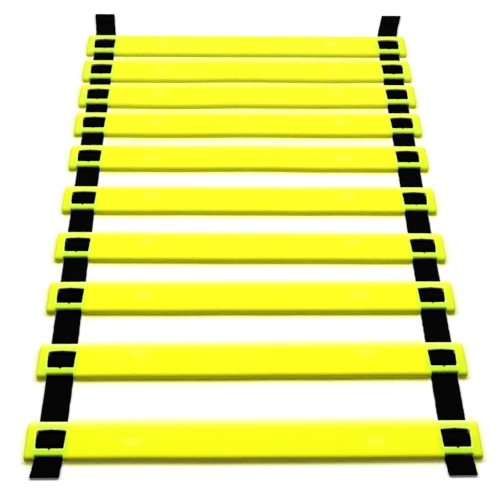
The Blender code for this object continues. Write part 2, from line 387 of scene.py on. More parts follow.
def noiseOn(tree, vector, scale, detail=2.0, roughness=0.5):
    node = tree.nodes.new("ShaderNodeTexNoise")
    node.inputs["Scale"].default_value = scale
    node.inputs["Detail"].default_value = detail
    node.inputs["Roughness"].default_value = roughness
    tree.links.new(vector, node.inputs["Vector"])
    return node.outputs["Fac"]


def splitVector(tree, vector):
    node = tree.nodes.new("ShaderNodeSeparateXYZ")
    tree.links.new(vector, node.inputs[0])
    return node.outputs


mottleForm = {
    "slowDetail": 2,
    "fineDetail": 3,
    "streakScale": (60, 900, 400),
    "streakTurn": 0.35,
    "streakNoise": (1.0, 3.0, 0.6),    # scale, detail and roughness
    "scuffRange": (0.66, 0.78),
}


def makeMottleGroup():
    # slow unevenness, fine grain and sparse scuffs, shared by plastic and webbing
    form = mottleForm
    group, start, end = newGroup(
        "surfaceMottle",
        [("Vector", "NodeSocketVector", None), ("Slow Scale", "NodeSocketFloat", 18.0),
         ("Fine Scale", "NodeSocketFloat", 1400.0)],
        [("Slow", "NodeSocketFloat"), ("Fine", "NodeSocketFloat"), ("Scuff", "NodeSocketFloat")])
    for label in ("Slow", "Fine"):
        mottle = group.nodes.new("ShaderNodeTexNoise")
        mottle.inputs["Detail"].default_value = form[label.lower() + "Detail"]
        group.links.new(start.outputs["Vector"], mottle.inputs["Vector"])
        group.links.new(start.outputs[label + " Scale"], mottle.inputs["Scale"])
        group.links.new(mottle.outputs["Fac"], end.inputs[label])
    stretch = group.nodes.new("ShaderNodeMapping")
    stretch.inputs["Scale"].default_value = form["streakScale"]
    stretch.inputs["Rotation"].default_value = (0, 0, form["streakTurn"])
    group.links.new(start.outputs["Vector"], stretch.inputs["Vector"])
    streak = noiseOn(group, stretch.outputs["Vector"], *form["streakNoise"])
    group.links.new(ramp(group, streak, *form["scuffRange"]), end.inputs["Scuff"])
    return group


mottleGroup = makeMottleGroup()


def placeGroup(tree, group, vector, **values):
    node = tree.nodes.new("ShaderNodeGroup")
    node.node_tree = group
    tree.links.new(vector, node.inputs["Vector"])
    for label, value in values.items():
        node.inputs[label.replace("_", " ")].default_value = value
    return node.outputs


def newMaterial(name):
    material = bpy.data.materials.new(name)
    material.use_nodes = True
    return material, material.node_tree, material.node_tree.nodes["Principled BSDF"]


def addBump(tree, shader, height, strength, distance):
    bump = tree.nodes.new("ShaderNodeBump")
    bump.inputs["Strength"].default_value = strength
    bump.inputs["Distance"].default_value = distance
    tree.links.new(height, bump.inputs["Height"])
    tree.links.new(bump.outputs["Normal"], shader.inputs["Normal"])


# Rung moulding

rungForm = {
    "endWall": 9.2 * mm,
    "windowLength": 26.6 * mm,
    "windowWidth": 17.5 * mm,
    # near or far (-1 or 1), inner or outer (-1 or 1, 0 for both), radius
    "windowCorners": ((-1, 0, 1.2 * mm), (1, 1, 2.0 * mm), (1, -1, 0.6 * mm)),
    "windowArch": 1.0 * mm,
    "windowTaper": 0.45 * mm,
    "windowCuts": (-0.75, -0.5, -0.25, 0, 0.25, 0.5, 0.75),
    "nearNotch": (1.5 * mm, 1.8 * mm),   # half width, depth
    "farNotch": (1.1 * mm, 0.9 * mm),
    "notchSides": 4,
    "rimRound": 0.55 * mm,
    "rimCuts": (0, 0.5, 0.75, 0.92, 1),
    "recess": 3.3 * mm,                # how far the near edge is set back where the webbing comes out
    "recessLength": 26.8 * mm,
    "recessCorner": 1.2 * mm,
    "recessRound": 2.0 * mm,
    "recessCuts": (0, 0.3, 0.55, 0.75, 0.9, 0.97, 1),
    "cornerSegments": 4,
    "plate": 2.2 * mm,
    "lip": 2.0 * mm,
    "rib": 1.5 * mm,
    "ribRecess": 0.8 * mm,
    "crossRibs": 5,
    "draft": 0.96,                     # a pocket's width at the plate, against that at its mouth
    "longRadius": 3.8 * mm,
    "longSegments": 9,
    "endRadius": 2.0 * mm,
    "endSegments": 6,
    "footRadius": 0.4 * mm,
    "footSegments": 2,
    "passage": 27.6 * mm,
    "nearPassage": 3.6 * mm,           # its height under the near bar's front
    "nearBarFront": 12.4 * mm,         # that front's inner side, from the middle
    "passageWall": 1.6 * mm,
    "barWidth": 8.5 * mm,
    "barHeight": 3.0 * mm,
    "barTop": 4.7 * mm,
    "barRound": 1.5 * mm,
    "pinMark": 2.1 * mm,
    "pinSides": 20,
    "pinDepth": 0.15 * mm,
    "faceCuts": (165 * mm, 4.5 * mm),  # reach and spacing of the finer cuts across the rung
    # and of those along it, from its middle line
    "lengthwiseCuts": (15.2 * mm, 12.4 * mm, 8.0 * mm, 5.4 * mm, 2.7 * mm),
    "crown": 0.16 * mm,
    "dimpleShare": 0.266,              # of the rung's length, from its middle
    "dimpleSize": (11 * mm, 7 * mm),
    "dimpleDepth": 0.22 * mm,
    "unevenness": 0.05 * mm,
    "unevenGrain": (22, 35, 3.7),      # of the noise: along the rung, across it and from rung to rung
    "sway": 0.45 * mm,                 # slow sideways waver of the long edges between the windows
    "swayGrain": (14, 2.9, 0.4),
    "swayStop": 30 * mm,               # inside a window's middle, where waver and bows have ended
    "swayPower": 4,
    "bowReach": 110 * mm,              # between the middles of the bows
    "smoothAngle": 42,
    "overrun": 6 * mm,
}
# small turns of the rungs as they lie, in degrees, from the far one
rungTurns = dict(zip(rungNames, (0.08, 0.28, 0.20, 0.03, -0.10, -0.12, -0.25, 0.00, 0.12, -0.06)))
# slow bows of single rungs sideways, in mm, left, in the middle and right
rungBows = {"rung_02": (-0.5, 0.9, -0.8), "rung_03": (-1.3, 0.4, -0.4), "rung_04": (-0.7, 0.5, -0.3),
            "rung_05": (0, 0.9, 0), "rung_10": (0, -0.3, 0)}
# how far the sink marks over the ribs lie from the rung's middle line, in mm
sinkPlaces = dict(zip(rungNames, (1, -2, 4, 2, -3, 3, 5, 1, 6, -2)))
windowCentre = rungLength / 2 - rungForm["endWall"] - rungForm["windowLength"] / 2


def upright(edge):
    return abs(edge.verts[0].co.z - edge.verts[1].co.z) > rungHeight / 4


def lengthwise(edge):
    return abs(edge.verts[0].co.y - edge.verts[1].co.y) < tiny


def flareAt(z, turn):
    # a cutter flares towards the top face, which rounds the rim that it leaves
    up = min(1, max(0, (z - rungHeight) / turn + 1))
    return turn * (1 - math.sqrt(1 - up ** 2))


def makeRungBlank():
    form = rungForm
    halfLength, halfWidth = rungLength / 2, rungWidth / 2
    blank = addBlock("rungMould", (-halfLength, -halfWidth, 0), (halfLength, halfWidth, rungHeight))
    choose(blank, "EDGE", lambda edge: all(vert.co.z > rungHeight - tiny for vert in edge.verts)
           and lengthwise(edge))
    bpy.ops.mesh.bevel(offset=form["longRadius"], segments=form["longSegments"], affect="EDGES")
    choose(blank, "EDGE", lambda edge: abs(edge.verts[0].co.x - edge.verts[1].co.x) < tiny
           and any(vert.co.z > tiny for vert in edge.verts))
    bpy.ops.mesh.bevel(offset=form["endRadius"], segments=form["endSegments"], affect="EDGES")
    choose(blank, "EDGE", lambda edge: all(vert.co.z < tiny for vert in edge.verts))
    bpy.ops.mesh.bevel(offset=form["footRadius"], segments=form["footSegments"], affect="EDGES")
    leaveEdit()
    return blank


def makePockets():
    # the hollows of the underside, with a little draft
    form = rungForm
    plateBottom = rungHeight - form["plate"]
    reach = windowCentre - form["passage"] / 2 - form["passageWall"]
    ribs = form["crossRibs"]
    cell = (2 * reach - ribs * form["rib"]) / (ribs + 1)
    rowDepth = rungWidth / 2 - form["lip"] - form["rib"] / 2
    outerStart = windowCentre + form["passage"] / 2 + form["passageWall"]
    outerEnd = rungLength / 2 - form["lip"]
    starts = [-reach + i * (cell + form["rib"]) for i in range(ribs + 1)]
    spans = [(start, start + cell) for start in starts]
    spans += [(outerStart, outerEnd), (-outerEnd, -outerStart)]
    pockets = []
    for low, high in spans:
        for side in (-1, 1):
            start = min(side * form["rib"] / 2, side * (form["rib"] / 2 + rowDepth))
            pocket = addBlock("pocket", (low, start, -form["overrun"]), (high, start + rowDepth, plateBottom))
            choose(pocket, "FACE", lambda face: face.normal.z > 0.9)
            shrink = 1 - (1 - form["draft"]) * rowDepth / (high - low)
            bpy.ops.transform.resize(value=(shrink, form["draft"], 1),
                                     center_override=((low + high) / 2, start + rowDepth / 2, plateBottom))
            leaveEdit()
            pockets.append(pocket)
    return joinAll(pockets, "pockets"), spans, rowDepth


def makeWindowCutter(side):
    form = rungForm
    centre = side * windowCentre
    halfLength, halfWidth = form["windowLength"] / 2, form["windowWidth"] / 2
    low, high = -form["overrun"], rungHeight + form["overrun"]
    cutter = addBlock("window", (centre - halfLength, -halfWidth, low),
                      (centre + halfLength, halfWidth, high))
    for far, outer, radius in form["windowCorners"]:
        choose(cutter, "EDGE", lambda edge: upright(edge) and edge.verts[0].co.y * far > halfWidth - tiny
               and side * (edge.verts[0].co.x - centre) * outer >= 0)
        bpy.ops.mesh.bevel(offset=radius, segments=form["cornerSegments"], affect="EDGES")
        leaveEdit()
    cutAlong(cutter, 0, [centre + halfLength * share for share in form["windowCuts"]])
    turn = form["rimRound"]
    cutAlong(cutter, 2, [rungHeight - turn + turn * share for share in form["rimCuts"]])
    for vert in cutter.data.vertices:
        if vert.co.y > halfWidth - tiny:
            vert.co.y += form["windowArch"] * (1 - ((vert.co.x - centre) / halfLength) ** 2)
        flare = flareAt(vert.co.z, turn)
        vert.co.x += (flare + form["windowTaper"] * vert.co.y / halfWidth) * (vert.co.x - centre) / halfLength
        vert.co.y += flare * vert.co.y / halfWidth
    cutters = [cutter]
    places = (("nearNotch", -halfWidth), ("farNotch", halfWidth + form["windowArch"]))
    for key, y in places:
        cutters.append(addPin("notch", form["notchSides"], (centre, y), *form[key], low, high))
    return cutters


def makeRecessCutter(side):
    # the near bar is set back between the lips, where the webbing comes out
    form = rungForm
    centre = side * windowCentre
    inner = form["recess"] - rungWidth / 2
    half = form["recessLength"] / 2
    cutter = addBlock("recess", (centre - half, -rungWidth, -form["overrun"]),
                      (centre + half, inner, rungHeight + form["overrun"]))
    choose(cutter, "EDGE", lambda edge: upright(edge) and edge.verts[0].co.y > inner - tiny)
    bpy.ops.mesh.bevel(offset=form["recessCorner"], segments=form["cornerSegments"], affect="EDGES")
    leaveEdit()
    turn = form["recessRound"]
    cutAlong(cutter, 2, [rungHeight - turn + turn * share for share in form["recessCuts"]])
    for vert in cutter.data.vertices:
        if vert.co.y > -rungWidth / 2:
            vert.co.y += flareAt(vert.co.z, turn)
    return cutter


def cutEnds(mould):
    # the webbing's passage, the window and the recess, left and right
    form = rungForm
    for side in (-1, 1):
        middle, half = side * windowCentre, form["passage"] / 2
        for start, end, height in ((-rungWidth, -form["nearBarFront"] + tiny, form["nearPassage"]),
                                   (-form["nearBarFront"], rungWidth, rungHeight - form["plate"])):
            passage = addBlock("passage", (middle - half, start, -form["overrun"]),
                               (middle + half, end, height))
            combine(mould, passage, "DIFFERENCE")
        for cutter in makeWindowCutter(side) + [makeRecessCutter(side)]:
            combine(mould, cutter, "DIFFERENCE")


def cutPinMarks(mould, spans, rowDepth):
    # the moulder's ejector pins leave a shallow round mark in each cell
    form = rungForm
    plateBottom = rungHeight - form["plate"]
    marks = []
    for low, high in spans[:form["crossRibs"] + 1]:
        for side in (-1, 1):
            centre = ((low + high) / 2, side * (form["rib"] / 2 + rowDepth / 2))
            marks.append(addPin("pinMark", form["pinSides"], centre, form["pinMark"], form["pinMark"],
                                plateBottom / 2, plateBottom + form["pinDepth"]))
    combine(mould, joinAll(marks, "pinMarks"), "DIFFERENCE")


def addCentreBars(mould):
    form = rungForm
    top, halfBar = form["barTop"], form["barWidth"] / 2
    reach = form["passage"] / 2 + form["passageWall"] / 2
    for side in (-1, 1):
        middle = side * windowCentre
        bar = addBlock("centreBar", (middle - reach, -halfBar, top - form["barHeight"]),
                       (middle + reach, halfBar, top))
        choose(bar, "EDGE", lambda edge: all(vert.co.z > top - tiny for vert in edge.verts)
               and lengthwise(edge))
        bpy.ops.mesh.bevel(offset=form["barRound"], segments=form["cornerSegments"], affect="EDGES")
        leaveEdit()
        combine(mould, bar, "UNION")


def addFaceCuts(mould):
    # finer cuts, so that the face can swell and dip
    form = rungForm
    windowReach = form["windowLength"] / 2 + form["rimRound"]
    reach, step = form["faceCuts"]
    columns = evenSteps(-reach, reach, step)
    for side in (-1, 1):
        columns += [side * windowCentre, side * (windowCentre + windowReach + mm),
                    side * (windowCentre - windowReach - mm)]
    cutAlong(mould, 0, columns)
    cutAlong(mould, 1, [side * place for side in (-1, 1) for place in form["lengthwiseCuts"]])


def makeRungMould():
    form = rungForm
    mould = makeRungBlank()
    pockets, spans, rowDepth = makePockets()
    combine(mould, pockets, "DIFFERENCE")
    cutEnds(mould)
    reliefX = windowCentre - form["passage"] / 2 - form["passageWall"] - form["lip"]
    reliefY = rungWidth / 2 - form["lip"] - form["rib"]
    relief = addBlock("relief", (-reliefX, -reliefY, -form["overrun"]), (reliefX, reliefY, form["ribRecess"]))
    combine(mould, relief, "DIFFERENCE")
    cutPinMarks(mould, spans, rowDepth)
    addCentreBars(mould)
    addFaceCuts(mould)
    return mould


def faceLift(x, y, seed, sink):
    # how far the top face stands off the flat, at a place on the rung
    form = rungForm
    lift = form["crown"] * (1 - (2 * y / rungWidth) ** 2) - form["crown"]
    for side in (-1, 1):
        away = (x - side * form["dimpleShare"] * rungLength) / form["dimpleSize"][0]
        off = (y - sink) / form["dimpleSize"][1]
        lift -= form["dimpleDepth"] * math.exp(-away * away - off * off)
    alongGrain, acrossGrain, seedGrain = form["unevenGrain"]
    wave = noise.noise(Vector((x * alongGrain, y * acrossGrain, seed * seedGrain)))
    return lift + form["unevenness"] * wave


def edgeSway(x, seed, bows):
    form = rungForm
    reach = form["bowReach"]
    inner = max(0, 1 - (abs(x) / (windowCentre - form["swayStop"])) ** form["swayPower"])
    alongGrain, seedGrain, start = form["swayGrain"]
    sway = form["sway"] * noise.noise(Vector((x * alongGrain, seed * seedGrain, start)))
    for place, bow in zip((-reach, 0, reach), bows):
        sway += bow * mm * math.cos(math.pi / 2 * min(1, abs(x - place) / reach)) ** 2
    return inner * sway


def makeRungs():
    mould = makeRungMould()
    print("rung mould:", len(mould.data.polygons), "faces")
    rungs = {}
    for index, name in enumerate(rungNames):
        rung = copyOf(mould, name + "_face")
        for vert in rung.data.vertices:
            x, y, z = vert.co
            vert.co.z += faceLift(x, y, index + 1, sinkPlaces[name] * mm) * z / rungHeight
            vert.co.y += edgeSway(x, index + 1, rungBows.get(name, (0, 0, 0)))
        rung.rotation_euler = (0, 0, math.radians(rungTurns[name]))
        rung.location = (0, rungCentre[name], 0)
        onlyThis(rung)
        bpy.ops.object.transform_apply(location=True, rotation=True, scale=True)
        bpy.ops.object.shade_smooth_by_angle(angle=math.radians(rungForm["smoothAngle"]))
        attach(rung, rungBody[name])
        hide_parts(name)
        rungs[name] = rung
    bpy.data.objects.remove(mould, do_unlink=True)
    return rungs


# Fluorescent plastic with painted light and shade: painted shade greener over the black webbing and at the
# ends, painted highlights paler along the thin far edge and round the windows

plasticLook = {
    # each pair is for the near rung and the far rung; the far rung's paler face is painted sheen
    "tones": {
        "face": ((0.950, 0.985, 0.006), (0.950, 0.985, 0.030)),
        # painted shade: greener where the black webbing lies under the thin plastic
        "nearBarShade": ((0.54, 0.89, 0.030), (0.70, 0.94, 0.090)),
        "farBarShade": ((0.72, 0.92, 0.030), (0.80, 0.95, 0.090)),
        # painted shade: greener round the windows and at the outer ends
        "ends": ((0.68, 0.93, 0.012), (0.76, 0.95, 0.040)),
        # painted highlight: paler along the rounded far edge
        "edge": ((0.960, 0.985, 0.45), (0.960, 0.985, 0.40)),
        # painted highlight: paler round the windows' rounded rims; the scuffs take this tone too
        "rimHighlight": ((0.930, 0.990, 0.28), (0.930, 0.990, 0.34)),
        # painted highlight: paler in the shallow sink marks
        "sink": ((0.970, 0.990, 0.060), (0.970, 0.990, 0.090)),
    },
    "shade": (0.44, 0.44, 0.01),       # the light that the thin plastic lets through
    "mottleScales": (16.0, 1100.0),
    "apart": (0.31, 0.17, 0.09),       # shift of the mottle from rung to rung
    "slowTint": (1.0, 0.99, 0.45),
    "slowRange": (0.35, 0.7, 0, 0.5),
    "sinkHighlightShare": 0.6,
    "rimHighlightShare": 0.6,
    "scuffShare": 0.06,
    "roughness": 0.5,
    "roughSpread": 0.10,
    "scuffRoughness": 0.12,
    "specular": 0.03,
    "grainStrength": 0.35,
    "grainHeight": 0.02 * mm,
}
# where the tones, painted light and shade, lie on a rung
maskForm = {
    "halves": (-5 * mm, 5 * mm),       # from the near half to the far half
    "nearBarShadeFade": (-4 * mm, 8 * mm),  # from the webbing's edge
    "farBarShadeFade": (-3 * mm, 4 * mm),
    "rimHighlightFade": (0.5 * mm, 1.7 * mm),   # from the window's edge
    "shadeRingFade": (0.5 * mm, 4.8 * mm),
    "outerFade": (-2 * mm, 2 * mm),    # from the window's middle
    "outerShare": 0.65,
    "endsShadeFade": (-12 * mm, 14 * mm, 1.0, 0.45),   # the ends are greener at the near side
    "farEdgeHighlightReach": 14 * mm,
    "farEdgeHighlightPower": 4.0,
    "sinkHighlightSize": (0.9, 0.8),            # against the sink marks in the face
    "sinkHighlightFade": (0.0, 1.6),
}


def makeRungMaskGroup():
    form, masks = rungForm, maskForm
    names = ("Near Bar Shade", "Far Bar Shade", "Ends Shade", "Rim Highlight", "Far Edge Highlight", "Sink Highlight")
    inputs = [("Vector", "NodeSocketVector", None), ("Sink", "NodeSocketFloat", 0.0)]
    group, start, end = newGroup("rungMasks", inputs, [(name, "NodeSocketFloat") for name in names])

    def maths(operation, first, second, clamp=False):
        return calculate(group, operation, first, second, clamp=clamp)

    x, y, _ = splitVector(group, start.outputs["Vector"])
    side = calculate(group, "ABSOLUTE", x)
    fromWindow = calculate(group, "ABSOLUTE", maths("SUBTRACT", side, windowCentre))
    halfWebbing = strapForm["width"] / 2
    farHalf = ramp(group, y, *masks["halves"])
    nearHalf = maths("SUBTRACT", 1.0, farHalf)
    bars = []
    # painted shade over the webbing at the near and the far bar
    for key, half in (("nearBarShadeFade", nearHalf), ("farBarShadeFade", farHalf)):
        low, high = (halfWebbing + place for place in masks[key])
        bars.append(maths("MULTIPLY", ramp(group, fromWindow, low, high, 1, 0), half))

    halfLength, halfWidth = form["windowLength"] / 2, form["windowWidth"] / 2
    middleShift = form["windowArch"] / 2
    alongX = maths("SUBTRACT", fromWindow, halfLength)
    fromMiddle = calculate(group, "ABSOLUTE", maths("SUBTRACT", y, middleShift))
    alongY = maths("SUBTRACT", fromMiddle, halfWidth + middleShift)
    distance = maths("MAXIMUM", alongX, alongY)
    # painted highlight round the window's rim
    rimHighlight = ramp(group, distance, *masks["rimHighlightFade"], 1, 0)
    outer = ramp(group, side, *(windowCentre + place for place in masks["outerFade"]))
    # painted shade round the windows and at the outer ends
    shadeRing = ramp(group, distance, *masks["shadeRingFade"], 1, 0)
    shadeRing = maths("MAXIMUM", shadeRing, maths("MULTIPLY", outer, masks["outerShare"]))
    ends = maths("MULTIPLY", shadeRing, ramp(group, y, *masks["endsShadeFade"]))

    # painted highlight along the far edge
    inside = maths("SUBTRACT", rungWidth / 2, y)
    fade = maths("SUBTRACT", 1.0, maths("DIVIDE", inside, masks["farEdgeHighlightReach"]), clamp=True)
    farEdge = maths("POWER", fade, masks["farEdgeHighlightPower"])

    # painted highlight in the sink marks
    sinkLength, sinkWidth = (size * share for size, share in zip(form["dimpleSize"], masks["sinkHighlightSize"]))
    away = maths("DIVIDE", maths("SUBTRACT", side, form["dimpleShare"] * rungLength), sinkLength)
    off = maths("DIVIDE", maths("SUBTRACT", y, start.outputs["Sink"]), sinkWidth)
    reach = maths("ADD", maths("MULTIPLY", away, away), maths("MULTIPLY", off, off))
    sink = ramp(group, reach, *masks["sinkHighlightFade"], 1, 0)
    for label, value in zip(names, (*bars, ends, rimHighlight, farEdge, sink)):
        group.links.new(value, end.inputs[label])
    return group


def makePlastic(name, rungName, number, maskGroup):
    look = plasticLook
    away = (len(rungNames) - number) / (len(rungNames) - 1)       # 0 at the near rung, 1 at the far one
    # each rung has its own copy of the tones, shifted from the near rung's to the far rung's as painted sheen
    # and shade
    tone = {}
    for key, pair in look["tones"].items():
        tone[key] = tuple(near + (far - near) * away for near, far in zip(*pair))
    material, tree, shader = newMaterial(name)
    place = tree.nodes.new("ShaderNodeTexCoord")
    local = tree.nodes.new("ShaderNodeMapping")
    local.vector_type = "TEXTURE"          # undoes the rung's own place and turn
    local.inputs["Location"].default_value = (0, rungCentre[rungName], 0)
    local.inputs["Rotation"].default_value = (0, 0, math.radians(rungTurns[rungName]))
    tree.links.new(place.outputs["Object"], local.inputs["Vector"])
    masks = placeGroup(tree, maskGroup, local.outputs["Vector"], Sink=sinkPlaces[rungName] * mm)
    apart = tree.nodes.new("ShaderNodeMapping")
    apart.inputs["Location"].default_value = [number * shift for shift in look["apart"]]
    tree.links.new(place.outputs["Object"], apart.inputs["Vector"])
    slowScale, fineScale = look["mottleScales"]
    mottle = placeGroup(tree, mottleGroup, apart.outputs["Vector"], Slow_Scale=slowScale,
                        Fine_Scale=fineScale)

    # painted shade at the ends
    colour = mixColour(tree, masks["Ends Shade"], tone["face"], tone["ends"])
    # painted shade over the webbing
    colour = mixColour(tree, masks["Near Bar Shade"], colour, tone["nearBarShade"])
    colour = mixColour(tree, masks["Far Bar Shade"], colour, tone["farBarShade"])
    slow = ramp(tree, mottle["Slow"], *look["slowRange"])
    colour = mixColour(tree, slow, colour, look["slowTint"], "MULTIPLY")
    # painted highlight in the sink marks
    sink = calculate(tree, "MULTIPLY", masks["Sink Highlight"], look["sinkHighlightShare"])
    colour = mixColour(tree, sink, colour, tone["sink"])
    # painted highlight along the far edge
    colour = mixColour(tree, masks["Far Edge Highlight"], colour, tone["edge"])
    # painted highlight round the windows
    rimHighlight = calculate(tree, "MULTIPLY", masks["Rim Highlight"], look["rimHighlightShare"])
    colour = mixColour(tree, rimHighlight, colour, tone["rimHighlight"])
    # scuffs, which are wear, take the pale tone of the painted rim highlight
    scuff = calculate(tree, "MULTIPLY", mottle["Scuff"], look["scuffShare"])
    colour = mixColour(tree, scuff, colour, tone["rimHighlight"])
    tree.links.new(colour, shader.inputs["Base Color"])

    smoothest = look["roughness"] - look["roughSpread"] / 2
    rough = calculate(tree, "MULTIPLY_ADD", mottle["Slow"], look["roughSpread"], smoothest)
    rough = calculate(tree, "MULTIPLY_ADD", mottle["Scuff"], look["scuffRoughness"], rough)
    tree.links.new(rough, shader.inputs["Roughness"])
    shader.inputs["Specular IOR Level"].default_value = look["specular"]
    addBump(tree, shader, mottle["Fine"], look["grainStrength"], look["grainHeight"])

    # the thin walls let some yellow light through into their own shadow
    path = tree.nodes.new("ShaderNodeLightPath")
    through = tree.nodes.new("ShaderNodeBsdfTransparent")
    through.inputs["Color"].default_value = (*look["shade"], 1)
    either = tree.nodes.new("ShaderNodeMixShader")
    tree.links.new(path.outputs["Is Shadow Ray"], either.inputs[0])
    tree.links.new(shader.outputs[0], either.inputs[1])
    tree.links.new(through.outputs[0], either.inputs[2])
    tree.links.new(either.outputs[0], tree.nodes["Material Output"].inputs["Surface"])
    return material


# Webbing

strapForm = {
    "width": 26 * mm,
    "thickness": 1.5 * mm,
    "edgeRound": 0.45 * mm,
    "dipRadius": 1.8 * mm,
    "dipSteps": 4,
    "riseAngle": 60,
    "topRadius": 2.55 * mm,            # of the middle of the webbing, over the bar's round edge
    "topPlace": 2.75 * mm,             # where that round edge starts, from the bar's middle
    "topHeight": 3.2 * mm,             # height of its centre
    "topSteps": 6,
    "crown": 0.35 * mm,
    "hem": 16 * mm,
    "foldRadius": 0.78 * mm,
    "foldSteps": 6,
    "farEnd": 1.7 * mm,                # beyond the CAD strap's far end
    "nearEnd": -2.4 * mm,
    "farSplay": {-1: 6.0 * mm, 1: 11.5 * mm},    # of the ends, outwards, left and right
    "nearSplay": {-1: 2.5 * mm, 1: 2.5 * mm},
    "leanStart": 5 * mm,               # inside the end rungs
    "leanPower": 1.15,
    "step": 1.5 * mm,
    "columns": 12,
    "edgeWander": 0.40 * mm,
    "edgeGrain": (260, 3, 2.3),        # of the noise: along the strap, across it and from left to right
    "edgePower": 4,                    # how closely the wander keeps to the edges
    "sideWander": 0.35 * mm,
    "sideGrain": (28, 5.1),
    "lift": 0.35 * mm,
    "liftGrain": (30, 4.4),
    "openEase": 12 * mm,               # from a rung's edge to where the webbing lies free
    "joinPlace": 12.5 * mm,            # from a rung's middle, hidden below its outer bars
    "roundAngle": 55,                  # between faces whose edge is rounded
    "smoothAngle": 50,
}


def overBar(centre):
    # the webbing's middle line past one rung, as (y, z, share of crown)
    form = strapForm
    level = form["thickness"] / 2
    angle = math.radians(form["riseAngle"])
    arcEndY = form["topPlace"] + form["topRadius"] * math.sin(angle)
    arcEndZ = form["topHeight"] + form["topRadius"] * math.cos(angle)
    dipRise = form["dipRadius"] * (1 - math.cos(angle))
    dipY = arcEndY + (arcEndZ - level - dipRise) / math.tan(angle) + form["dipRadius"] * math.sin(angle)
    climb = []
    for i in range(form["dipSteps"] + 1):
        part = angle * i / form["dipSteps"]
        climb.append((-dipY + form["dipRadius"] * math.sin(part),
                      level + form["dipRadius"] * (1 - math.cos(part)), 0))
    for i in range(form["topSteps"] + 1):
        part = angle * (1 - i / form["topSteps"])
        climb.append((-form["topPlace"] - form["topRadius"] * math.sin(part),
                      form["topHeight"] + form["topRadius"] * math.cos(part), 0.5 * i / form["topSteps"]))
    flat = [(y, form["topHeight"] + form["topRadius"], 1 - abs(y) / form["topPlace"] / 2)
            for y in evenSteps(-form["topPlace"], form["topPlace"], mm)[1:-1]]
    down = [(-y, z, crown) for y, z, crown in reversed(climb)]
    return [(centre + y, z, crown) for y, z, crown in climb + flat + down]


def foldedEnd(end, outward):
    # a hem: out along the lower layer, round the fold, and back on top
    form = strapForm
    level = form["thickness"] / 2
    centre = end - outward * (form["foldRadius"] + level)
    fold = []
    for i in range(form["foldSteps"] + 1):
        angle = math.pi * i / form["foldSteps"] - math.pi / 2
        fold.append((centre + outward * form["foldRadius"] * math.cos(angle),
                     level + form["foldRadius"] + form["foldRadius"] * math.sin(angle), 0))
    top = level + 2 * form["foldRadius"]
    places = evenSteps(form["step"], form["hem"], form["step"])
    return fold + [(centre - outward * place, top, 0) for place in places]


def strapPlace(name, side):
    # where a strap crosses a rung that is slightly turned
    return rungCentre[name] + math.radians(rungTurns[name]) * side * windowCentre


def strapLine(side):
    # the whole middle line of one strap, from hem to hem
    form = strapForm
    level = form["thickness"] / 2
    line = list(reversed(foldedEnd(strapNear - form["nearEnd"], -1)))
    for name in reversed(rungNames):
        wave = overBar(strapPlace(name, side))
        line += [(y, level, 0) for y in evenSteps(line[-1][0], wave[0][0], form["step"])[1:-1]]
        line += wave
    far = foldedEnd(strapFar + form["farEnd"], 1)
    line += [(y, level, 0) for y in evenSteps(line[-1][0], far[0][0], form["step"])[1:-1]]
    return line + far


def tailShift(side, y):
    form = strapForm
    farEdge = rungCentre[rungNames[0]] + rungWidth / 2 - form["leanStart"]
    nearEdge = rungCentre[rungNames[-1]] - rungWidth / 2 + form["leanStart"]
    if y > farEdge:
        return form["farSplay"][side] * ((y - farEdge) / (strapFar - farEdge)) ** form["leanPower"]
    if y < nearEdge:
        return form["nearSplay"][side] * ((nearEdge - y) / (nearEdge - strapNear)) ** form["leanPower"]
    return 0


def openShare(y):
    # 0 at and under the rungs, 1 in the middle of a gap
    nearest = min(abs(y - centre) for centre in rungCentre.values())
    share = min(1, max(0, (nearest - rungWidth / 2) / strapForm["openEase"]))
    return share * share * (3 - 2 * share)


def makeWholeStrap(side, seed):
    form = strapForm
    line = strapLine(side)
    count = len(line)
    bpy.ops.object.select_all(action="DESELECT")
    bpy.ops.mesh.primitive_grid_add(x_subdivisions=form["columns"], y_subdivisions=count - 1, size=1)
    strap = bpy.context.object
    strap.name = "wholeStrap"
    arc = [0]
    for first, second in zip(line, line[1:]):
        arc.append(arc[-1] + math.dist(first[:2], second[:2]))
    halfWidth = form["width"] / 2
    edgeAlong, edgeAcross, edgeSeed = form["edgeGrain"]
    sideAlong, sideSeed = form["sideGrain"]
    liftAlong, liftStart = form["liftGrain"]
    alongOf, acrossOf = {}, {}
    for vert in strap.data.vertices:
        row = round((vert.co.y + 0.5) * (count - 1))
        share = vert.co.x * 2
        y, z, crown = line[row]
        across = share * halfWidth
        alongOf[vert.index], acrossOf[vert.index] = arc[row], across
        free = openShare(y)
        wander = noise.noise(Vector((arc[row] * sideAlong, seed * sideSeed, 0))) * form["sideWander"] * free
        fray = noise.noise(Vector((arc[row] * edgeAlong, share * edgeAcross, seed * edgeSeed)))
        fray = fray * form["edgeWander"] * share ** form["edgePower"] * math.copysign(1, share)
        rise = max(0, noise.noise(Vector((arc[row] * liftAlong, liftStart, seed)))) * form["lift"] * free
        curl = form["crown"] * crown * (1 - share ** 2)
        middle = side * windowCentre + side * tailShift(side, y)
        vert.co = (middle + across + wander + fray, y, z + rise + curl)
    layer = strap.data.uv_layers.active or strap.data.uv_layers.new()
    layer.name = "weave"
    for loop in strap.data.loops:
        layer.data[loop.index].uv = (acrossOf[loop.vertex_index], alongOf[loop.vertex_index])
    applyModifier(strap, "SOLIDIFY", thickness=form["thickness"], offset=0, use_even_offset=True)
    applyModifier(strap, "BEVEL", width=form["edgeRound"], segments=2, limit_method="ANGLE",
                  angle_limit=math.radians(form["roundAngle"]))
    return strap


